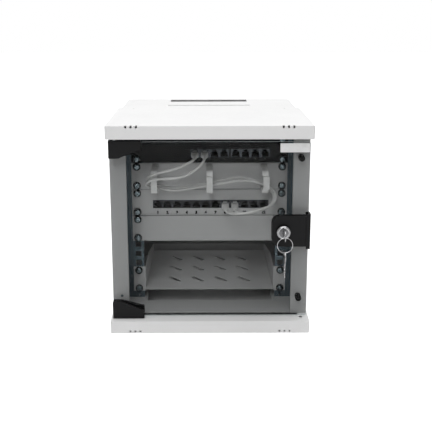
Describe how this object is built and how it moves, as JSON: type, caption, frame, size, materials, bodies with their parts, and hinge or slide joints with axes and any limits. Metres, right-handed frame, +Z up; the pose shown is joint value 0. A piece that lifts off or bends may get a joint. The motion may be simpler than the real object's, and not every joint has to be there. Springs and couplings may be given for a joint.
{
  "type": "wall mount network cabinet",
  "caption": "Small wall mount network cabinet with a lockable glass door, rack rails, switch, patch panel, cable rings, shelf and patch cords.",
  "frame": {"origin": "middle of the underside of the bottom cover", "axes": "+Z up, +Y towards the wall, -Y towards the person at the glass door, +X to that person's right"},
  "size_m": [0.312, 0.3262, 0.3315],
  "materials": {
    "cover_white": "fine matt powder coat",
    "body_grey": "fine satin powder coat",
    "panel_grey": "satin powder coat",
    "galvanised": "galvanised, cool sheen",
    "zinc_screw": "bright zinc",
    "black_plastic": "matt moulded",
    "black_paint": "satin powder coat",
    "jack_shell": "drawn steel",
    "jack_black": "satin moulded",
    "board_green": "solder resist",
    "ring_grey": "moulded",
    "cord_grey": "soft jacket",
    "plug_clear": "clear plug and grey boot",
    "black_rubber": "soft",
    "bush_nylon": "nylon",
    "door_glass": "tempered, slightly grey",
    "lock_chrome": "bright",
    "key_steel": "nickel plated, worn",
    "pin_steel": "turned",
    "label_plain": "bare plate",
    "idc_white": "moulded"
  },
  "bodies": {
    "cabinet": {"bottom_cover": "cover_white", "top_cover": "cover_white", "cable_entry_blank": "cover_white", "cover_screws": "zinc_screw", "floor_panel": "body_grey", "roof_panel": "body_grey", "side_panel_left": "body_grey", "side_panel_right": "body_grey", "rear_panel": "body_grey", "rail_left": "galvanised", "rail_right": "galvanised", "rail_nuts": "zinc_screw", "cup_washers": "black_plastic", "panel_screws": "zinc_screw", "cage_nuts": "zinc_screw", "switch_front": "black_paint", "switch_housing": "black_paint", "switch_jacks": "jack_shell", "switch_board": "board_green", "power_inlet": "jack_black", "cable_manager_panel": "panel_grey", "cable_ring_left": "ring_grey", "cable_ring_middle": "ring_grey", "cable_ring_right": "ring_grey", "patch_panel": "panel_grey", "patch_jacks": "jack_black", "patch_board": "board_green", "idc_blocks": "idc_white", "blank_panel": "panel_grey", "shelf": "panel_grey", "bumpers": "black_rubber", "pivot_bushes": "bush_nylon", "plug_switch_1": "plug_clear", "plug_switch_2": "plug_clear", "plug_patch_8": "plug_clear", "plug_patch_9": "plug_clear", "patch_cord_1": "cord_grey", "patch_cord_2": "cord_grey"},
    "entry_shutter": {"cable_entry_shutter": "cover_white"},
    "door": {"door_glass": "door_glass", "hinge_shoe_front_bottom": "black_paint", "hinge_shoe_front_top": "black_paint", "hinge_shoe_back_bottom": "black_paint", "hinge_shoe_back_top": "black_paint", "glass_gaskets": "black_rubber", "clamp_screws": "pin_steel", "pivot_pins": "pin_steel", "lock_plate_front": "black_paint", "lock_plate_back": "black_paint", "lock_edge_cap": "black_paint", "lock_barrel": "lock_chrome", "lock_nut": "pin_steel", "label_plate": "label_plain"},
    "lock_core": {"lock_plug": "lock_chrome", "lock_cam": "pin_steel", "cam_screw": "zinc_screw"},
    "inserted_key": {"key": "key_steel"},
    "split_ring": {"key_ring": "key_steel"},
    "hanging_key": {"spare_key": "key_steel"}
  },
  "joints": [
    {"name": "door_swing", "type": "hinge", "parent": "cabinet", "child": "door", "pos_m": [-0.144, -0.134, 0.1635], "axis": [0, 0, -1], "range_deg": [0, 180]},
    {"name": "lock_turn", "type": "hinge", "parent": "door", "child": "lock_core", "pos_m": [0.113, -0.14, 0.1635], "axis": [0, -1, 0], "range_deg": [0, 90]},
    {"name": "key_withdraw", "type": "slide", "parent": "lock_core", "child": "inserted_key", "axis": [0, -1, 0], "range_m": [0, 0.03]},
    {"name": "ring_swing", "type": "hinge", "parent": "inserted_key", "child": "split_ring", "pos_m": [0.113, -0.1662, 0.16145], "axis": [1, 0, 0], "range_deg": [-75, 8]},
    {"name": "spare_key_swing", "type": "hinge", "parent": "split_ring", "child": "hanging_key", "pos_m": [0.113, -0.1662, 0.13885], "axis": [1, 0, 0], "range_deg": [-45, 8]},
    {"name": "shutter_slide", "type": "slide", "parent": "cabinet", "child": "entry_shutter", "axis": [0, 1, 0], "range_m": [0, 0.028]}
  ]
}
